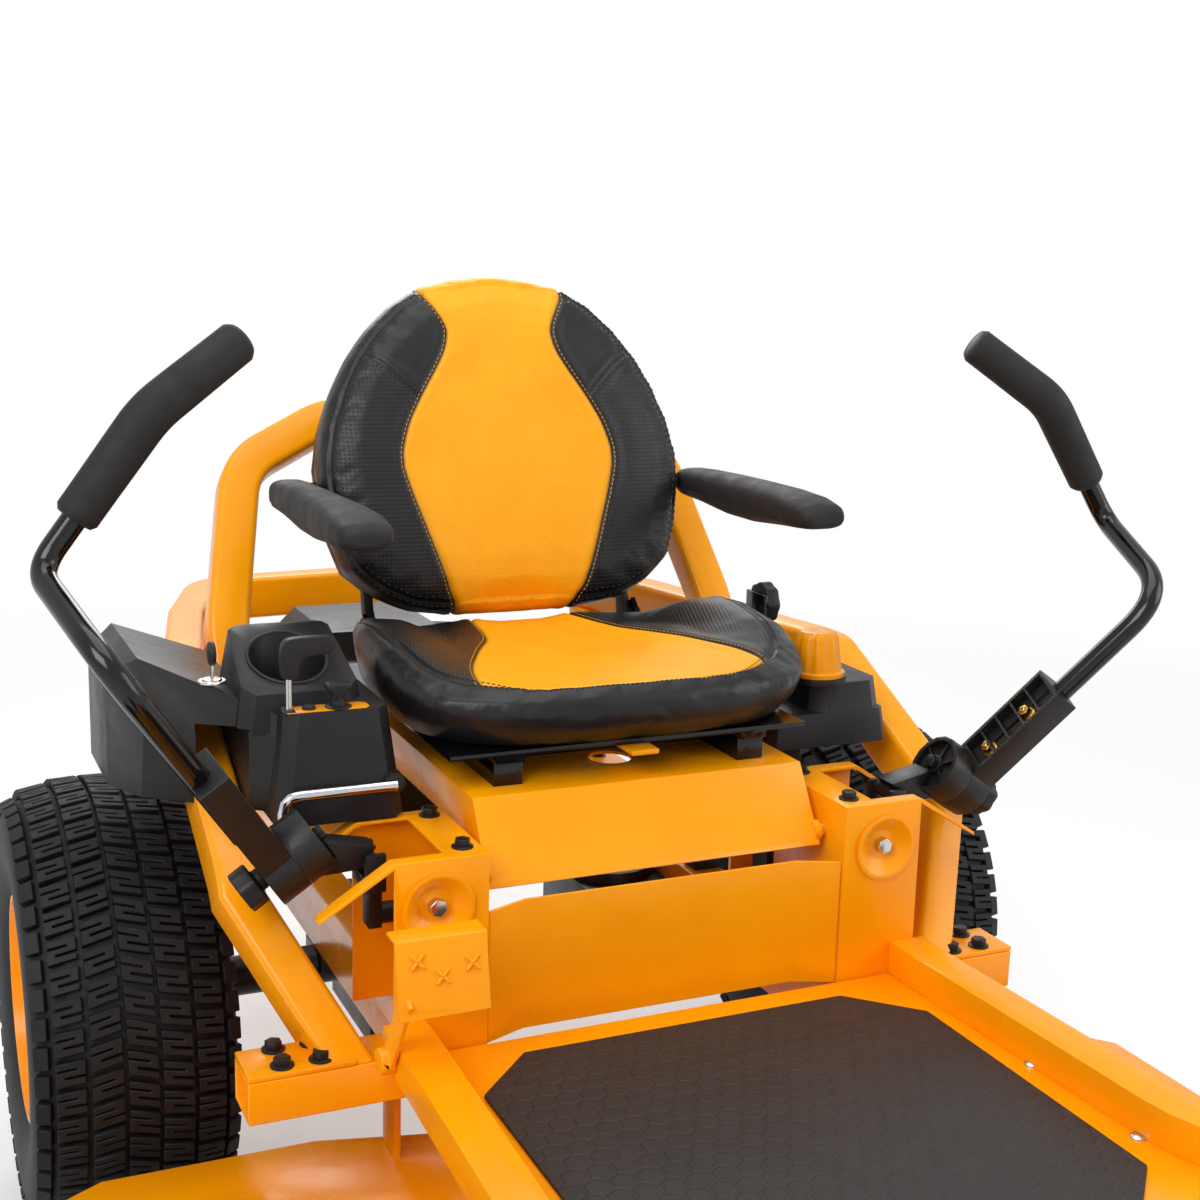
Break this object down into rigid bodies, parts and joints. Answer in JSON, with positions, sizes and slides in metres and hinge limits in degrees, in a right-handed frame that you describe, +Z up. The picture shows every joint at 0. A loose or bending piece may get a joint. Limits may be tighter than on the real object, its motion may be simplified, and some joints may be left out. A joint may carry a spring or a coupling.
{
  "type": "zero-turn riding lawn mower",
  "caption": "Zero-turn riding mower with twin lap bars, hooped high-back seat, side console, low deck with a side chute, rear engine and swivelling front casters.",
  "frame": {"origin": "middle of the bounding box on the ground", "axes": "+Z up, -Y towards the front casters, +X towards the left side of the machine"},
  "size_m": [1.647, 1.927, 1.1774],
  "materials": {
    "yellow_paint": "gloss powder coat",
    "black_paint": "gloss",
    "black_casting": "satin casting",
    "mat_rubber": "ribbed",
    "padded_foam": "matt foam skin",
    "black_plastic": "fine texture",
    "yellow_plastic": "satin",
    "seat_vinyl": "grained vinyl with a yellow centre",
    "chrome": "polished",
    "tyre_rubber": "matt",
    "bare_steel": "bright"
  },
  "bodies": {
    "chassis": {"frame_rail_left": "yellow_paint", "frame_rail_right": "yellow_paint", "caster_arm_left": "yellow_paint", "caster_arm_right": "yellow_paint", "rear_plate": "yellow_paint", "guard_rail_left": "yellow_paint", "guard_rail_right": "yellow_paint", "seat_hoop": "yellow_paint", "floor_pan": "yellow_paint", "foot_mat": "mat_rubber", "tower_left": "yellow_paint", "tower_right": "yellow_paint", "front_panel": "yellow_paint", "console": "black_plastic", "fuel_tank": "black_plastic", "engine_block": "black_casting", "engine_shroud": "black_plastic", "transaxle_left": "black_casting", "transaxle_right": "black_casting"},
    "seat_deck": {"seat_pan": "yellow_paint", "seat_rails": "black_paint"},
    "seat": {"seat_base": "black_paint", "seat_cushion": "seat_vinyl"},
    "backrest": {"seat_back_shell": "black_plastic", "seat_back_cushion": "seat_vinyl"},
    "recline_control": {"recline_knob": "black_plastic"},
    "slide_control": {"slide_latch": "yellow_plastic"},
    "arm_left": {"armrest_left": "padded_foam"},
    "arm_right": {"armrest_right": "padded_foam"},
    "throttle": {"throttle_lever": "black_plastic"},
    "blade_switch": {"pto_knob": "black_plastic"},
    "key": {"ignition_key": "black_plastic"},
    "tank_cap": {"fuel_cap": "yellow_plastic"},
    "height_index": {"height_index_lever": "chrome"},
    "deck": {"deck_shell": "yellow_paint"},
    "lift_pedal": {"deck_pedal": "yellow_paint"},
    "chute": {"discharge_chute": "black_plastic"},
    "cutter_right": {"blade_right": "bare_steel"},
    "cutter_centre": {"blade_centre": "bare_steel"},
    "cutter_left": {"blade_left": "bare_steel"},
    "lever_base_left": {"drive_pivot_left": "black_casting"},
    "lever_swing_left": {"swing_hub_left": "black_casting"},
    "lever_arm_left": {"lever_bracket_left": "black_casting", "lap_bar_left": "black_paint", "grip_left": "padded_foam"},
    "lever_clamp_left": {"star_knob_left": "black_plastic"},
    "drive_wheel_left": {"rear_tyre_left": "tyre_rubber", "rear_rim_left": "yellow_paint"},
    "caster_left": {"caster_fork_left": "black_paint"},
    "front_wheel_left": {"caster_wheel_left": "tyre_rubber"},
    "lever_base_right": {"drive_pivot_right": "black_casting"},
    "lever_swing_right": {"swing_hub_right": "black_casting"},
    "lever_arm_right": {"lever_bracket_right": "black_casting", "lap_bar_right": "black_paint", "grip_right": "padded_foam"},
    "lever_clamp_right": {"star_knob_right": "black_plastic"},
    "drive_wheel_right": {"rear_tyre_right": "tyre_rubber", "rear_rim_right": "yellow_paint"},
    "caster_right": {"caster_fork_right": "black_paint"},
    "front_wheel_right": {"caster_wheel_right": "tyre_rubber"}
  },
  "joints": [
    {"name": "seat_tilt", "type": "hinge", "parent": "chassis", "child": "seat_deck", "pos_m": [0.1235, -0.09346, 0.56], "axis": [1, 0, 0], "range_deg": [0, 60]},
    {"name": "seat_slide", "type": "slide", "parent": "seat_deck", "child": "seat", "axis": [0, 1, 0], "range_m": [-0.045, 0.045]},
    {"name": "backrest_recline", "type": "hinge", "parent": "seat", "child": "backrest", "pos_m": [0.1235, 0.38854, 0.722], "axis": [-1, 0, 0], "range_deg": [0, 10]},
    {"name": "recline_turn", "type": "hinge", "parent": "seat", "child": "recline_control", "pos_m": [0.4215, 0.20654, 0.766], "axis": [1, 0, 0], "range_deg": [0, 150]},
    {"name": "slide_release", "type": "hinge", "parent": "seat", "child": "slide_control", "pos_m": [0.1235, -0.01546, 0.664], "axis": [0, 0, 1], "range_deg": [0, 10], "stiffness_Nm_per_rad": 0.2},
    {"name": "armrest_fold_left", "type": "hinge", "parent": "backrest", "child": "arm_left", "pos_m": [0.4115, 0.40654, 0.902], "axis": [-1, 0, 0], "range_deg": [0, 85]},
    {"name": "lap_drive_left", "type": "hinge", "parent": "chassis", "child": "lever_base_left", "pos_m": [0.4235, -0.06346, 0.52], "axis": [1, 0, 0], "range_deg": [-6, 18]},
    {"name": "lap_swing_left", "type": "hinge", "parent": "lever_base_left", "child": "lever_swing_left", "pos_m": [0.4485, -0.06346, 0.585], "axis": [0, 1, 0], "range_deg": [-34, 0]},
    {"name": "lap_adjust_left", "type": "hinge", "parent": "lever_swing_left", "child": "lever_arm_left", "pos_m": [0.5041, -0.07346, 0.6174], "axis": [0.829, 0, -0.5592], "range_deg": [-6, 6]},
    {"name": "lap_clamp_left", "type": "hinge", "parent": "lever_arm_left", "child": "lever_clamp_left", "pos_m": [0.5041, -0.07346, 0.6174], "axis": [0.829, 0, -0.5592], "continuous": true},
    {"name": "drive_wheel_spin_left", "type": "hinge", "parent": "chassis", "child": "drive_wheel_left", "pos_m": [0.6575, 0.36654, 0.279], "axis": [1, 0, 0], "continuous": true},
    {"name": "caster_swivel_left", "type": "hinge", "parent": "chassis", "child": "caster_left", "pos_m": [0.6235, -0.86346, 0.4], "axis": [0, 0, 1], "continuous": true},
    {"name": "front_wheel_spin_left", "type": "hinge", "parent": "caster_left", "child": "front_wheel_left", "pos_m": [0.6235, -0.79846, 0.165], "axis": [1, 0, 0], "continuous": true},
    {"name": "armrest_fold_right", "type": "hinge", "parent": "backrest", "child": "arm_right", "pos_m": [-0.1645, 0.40654, 0.902], "axis": [-1, 0, 0], "range_deg": [0, 85]},
    {"name": "lap_drive_right", "type": "hinge", "parent": "chassis", "child": "lever_base_right", "pos_m": [-0.1765, -0.06346, 0.52], "axis": [1, 0, 0], "range_deg": [-6, 18]},
    {"name": "lap_swing_right", "type": "hinge", "parent": "lever_base_right", "child": "lever_swing_right", "pos_m": [-0.2015, -0.06346, 0.585], "axis": [0, -1, 0], "range_deg": [-34, 0]},
    {"name": "lap_adjust_right", "type": "hinge", "parent": "lever_swing_right", "child": "lever_arm_right", "pos_m": [-0.2571, -0.07346, 0.6174], "axis": [0.829, 0, 0.5592], "range_deg": [-6, 6]},
    {"name": "lap_clamp_right", "type": "hinge", "parent": "lever_arm_right", "child": "lever_clamp_right", "pos_m": [-0.2571, -0.07346, 0.6174], "axis": [0.829, 0, 0.5592], "continuous": true},
    {"name": "drive_wheel_spin_right", "type": "hinge", "parent": "chassis", "child": "drive_wheel_right", "pos_m": [-0.4105, 0.36654, 0.279], "axis": [1, 0, 0], "continuous": true},
    {"name": "caster_swivel_right", "type": "hinge", "parent": "chassis", "child": "caster_right", "pos_m": [-0.3765, -0.86346, 0.4], "axis": [0, 0, 1], "continuous": true},
    {"name": "front_wheel_spin_right", "type": "hinge", "parent": "caster_right", "child": "front_wheel_right", "pos_m": [-0.3765, -0.79846, 0.165], "axis": [1, 0, 0], "continuous": true},
    {"name": "throttle_tilt", "type": "hinge", "parent": "chassis", "child": "throttle", "pos_m": [-0.2595, 0.02454, 0.724], "axis": [1, 0, 0], "range_deg": [0, 25]},
    {"name": "blade_switch_pull", "type": "slide", "parent": "chassis", "child": "blade_switch", "axis": [0, 0, 1], "range_m": [0, 0.012]},
    {"name": "key_turn", "type": "hinge", "parent": "chassis", "child": "key", "pos_m": [-0.3245, 0.10454, 0.74], "axis": [0, 0, -1], "range_deg": [0, 60]},
    {"name": "cap_turn", "type": "hinge", "parent": "chassis", "child": "tank_cap", "pos_m": [0.4355, 0.09254, 0.7], "axis": [0, 0, 1], "continuous": true},
    {"name": "height_index_swing", "type": "hinge", "parent": "chassis", "child": "height_index", "pos_m": [-0.1525, -0.01446, 0.642], "axis": [0, 1, 0], "range_deg": [0, 50]},
    {"name": "deck_lift", "type": "slide", "parent": "chassis", "child": "deck", "axis": [0, 0, 1], "range_m": [0, 0.074]},
    {"name": "pedal_push", "type": "hinge", "parent": "chassis", "child": "lift_pedal", "pos_m": [-0.1745, -0.17846, 0.41], "axis": [1, 0, 0], "range_deg": [0, 30]},
    {"name": "chute_fold", "type": "hinge", "parent": "deck", "child": "chute", "pos_m": [-0.5685, -0.25346, 0.208], "axis": [0, 1, 0], "range_deg": [0, 80]},
    {"name": "blade_spin_centre", "type": "hinge", "parent": "deck", "child": "cutter_centre", "pos_m": [0.1235, -0.33346, 0.15], "axis": [0, 0, 1], "continuous": true},
    {"name": "blade_spin_right", "type": "hinge", "parent": "deck", "child": "cutter_right", "pos_m": [-0.3165, -0.23346, 0.15], "axis": [0, 0, 1], "continuous": true},
    {"name": "blade_spin_left", "type": "hinge", "parent": "deck", "child": "cutter_left", "pos_m": [0.5635, -0.23346, 0.15], "axis": [0, 0, 1], "continuous": true}
  ],
  "couplings": [
    {"joint": "recline_turn", "follows": "backrest_recline", "ratio": 15},
    {"joint": "pedal_push", "follows": "deck_lift", "rad_per_m": 7},
    {"joint": "blade_spin_right", "follows": "blade_spin_centre", "ratio": 1},
    {"joint": "blade_spin_left", "follows": "blade_spin_centre", "ratio": 1}
  ]
}
